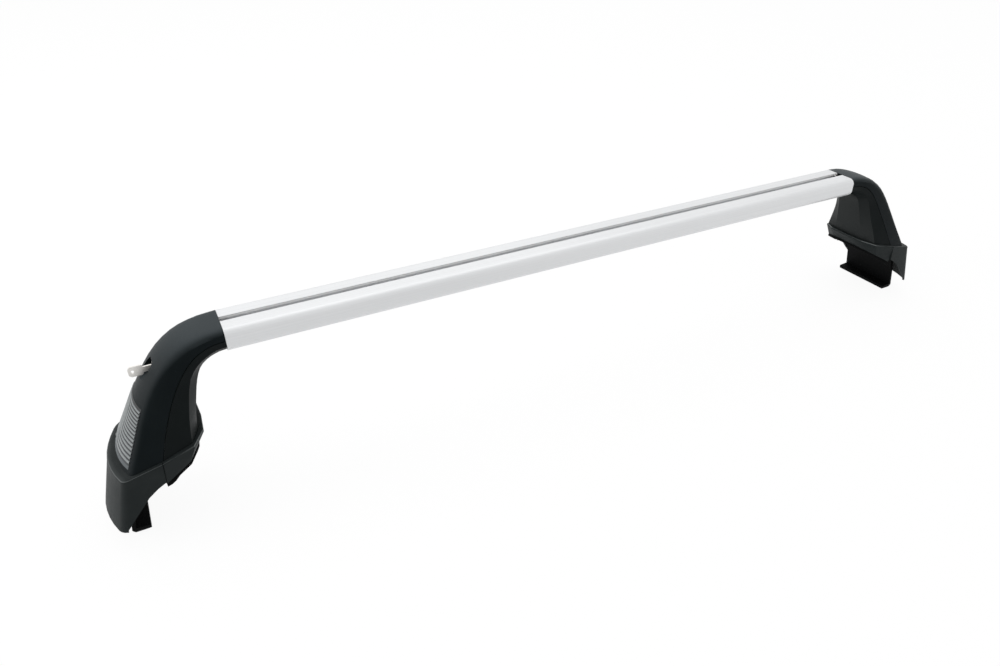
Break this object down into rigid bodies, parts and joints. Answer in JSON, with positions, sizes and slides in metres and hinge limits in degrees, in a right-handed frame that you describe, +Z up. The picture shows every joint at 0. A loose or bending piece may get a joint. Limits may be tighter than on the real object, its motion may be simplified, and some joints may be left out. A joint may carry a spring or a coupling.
{
  "type": "roof rack crossbar",
  "caption": "Aerodynamic aluminium crossbar with a T-slot along its top, held by black moulded feet that hook round a car's door frames and lock with a key.",
  "frame": {"origin": "bottom centre: midway between the two feet and midway across them, on the level of the lowest point of the hooks; the bar lies 6 mm behind the middle", "axes": "+X along the bar, from the foot with the key to the other foot; +Y across the bar; +Z up"},
  "size_m": [1.184, 0.1114, 0.2023],
  "materials": {
    "bar_aluminium": "clear anodised, satin, drawn lengthwise",
    "cover_plastic": "fine grained black moulding",
    "skirt_plastic": "satin dark grey-black moulding",
    "pad_rubber": "matt black rubber",
    "frame_metal": "black coated casting",
    "coated_steel": "black coated steel",
    "zinc_steel": "zinc plated",
    "lock_zinc": "black coated die casting",
    "lock_core_metal": "nickel plated",
    "key_metal": "nickel plated, stamped"
  },
  "bodies": {
    "crossbar": {"bar": "bar_aluminium", "left_inner_cover": "cover_plastic", "left_skirt": "skirt_plastic", "left_base_shoe": "skirt_plastic", "left_roof_pad": "pad_rubber", "left_frame": "frame_metal", "left_frame_bolts": "zinc_steel", "left_clamp_nut": "zinc_steel", "left_hinge_pin": "zinc_steel", "left_lock_catch": "zinc_steel", "right_inner_cover": "cover_plastic", "right_skirt": "skirt_plastic", "right_base_shoe": "skirt_plastic", "right_roof_pad": "pad_rubber", "right_frame": "frame_metal", "right_frame_bolts": "zinc_steel", "right_clamp_nut": "zinc_steel", "right_hinge_pin": "zinc_steel", "right_lock_catch": "zinc_steel"},
    "left_cover": {"left_outer_cover": "cover_plastic", "left_lock_body": "lock_zinc"},
    "left_lock": {"left_lock_core": "lock_core_metal", "left_lock_cam": "zinc_steel"},
    "left_hook": {"left_claw": "coated_steel", "left_clamp_washer": "zinc_steel"},
    "left_screw": {"left_clamp_screw": "zinc_steel"},
    "right_cover": {"right_outer_cover": "cover_plastic", "right_lock_body": "lock_zinc"},
    "right_lock": {"right_lock_core": "lock_core_metal", "right_lock_cam": "zinc_steel"},
    "right_hook": {"right_claw": "coated_steel", "right_clamp_washer": "zinc_steel"},
    "right_screw": {"right_clamp_screw": "zinc_steel"},
    "left_key": {"left_key": "key_metal"}
  },
  "joints": [
    {"name": "left_cover_open", "type": "hinge", "parent": "crossbar", "child": "left_cover", "pos_m": [-0.5613, 0.006, 0.08625], "axis": [0, -1, 0], "range_deg": [0, 60]},
    {"name": "left_lock_turn", "type": "hinge", "parent": "left_cover", "child": "left_lock", "pos_m": [-0.5, 0.006, 0.1668], "axis": [-1, 0, 0], "range_deg": [0, 90]},
    {"name": "left_hook_slide", "type": "slide", "parent": "crossbar", "child": "left_hook", "axis": [1, 0, 0], "range_m": [0, 0.008]},
    {"name": "left_screw_turn", "type": "hinge", "parent": "left_hook", "child": "left_screw", "pos_m": [-0.54, 0.006, 0.104], "axis": [1, 0, 0], "range_deg": [0, 2304]},
    {"name": "right_cover_open", "type": "hinge", "parent": "crossbar", "child": "right_cover", "pos_m": [0.5613, 0.006, 0.08625], "axis": [0, 1, 0], "range_deg": [0, 60]},
    {"name": "right_lock_turn", "type": "hinge", "parent": "right_cover", "child": "right_lock", "pos_m": [0.5, 0.006, 0.1668], "axis": [-1, 0, 0], "range_deg": [0, 90]},
    {"name": "right_hook_slide", "type": "slide", "parent": "crossbar", "child": "right_hook", "axis": [-1, 0, 0], "range_m": [0, 0.008]},
    {"name": "right_screw_turn", "type": "hinge", "parent": "right_hook", "child": "right_screw", "pos_m": [0.54, 0.006, 0.104], "axis": [-1, 0, 0], "range_deg": [0, 2304]},
    {"name": "left_key_slide", "type": "slide", "parent": "left_lock", "child": "left_key", "axis": [-1, 0, 0], "range_m": [0, 0.019]}
  ],
  "couplings": [
    {"joint": "left_screw_turn", "follows": "left_hook_slide", "rad_per_m": 5026.5},
    {"joint": "right_screw_turn", "follows": "right_hook_slide", "rad_per_m": 5026.5}
  ]
}
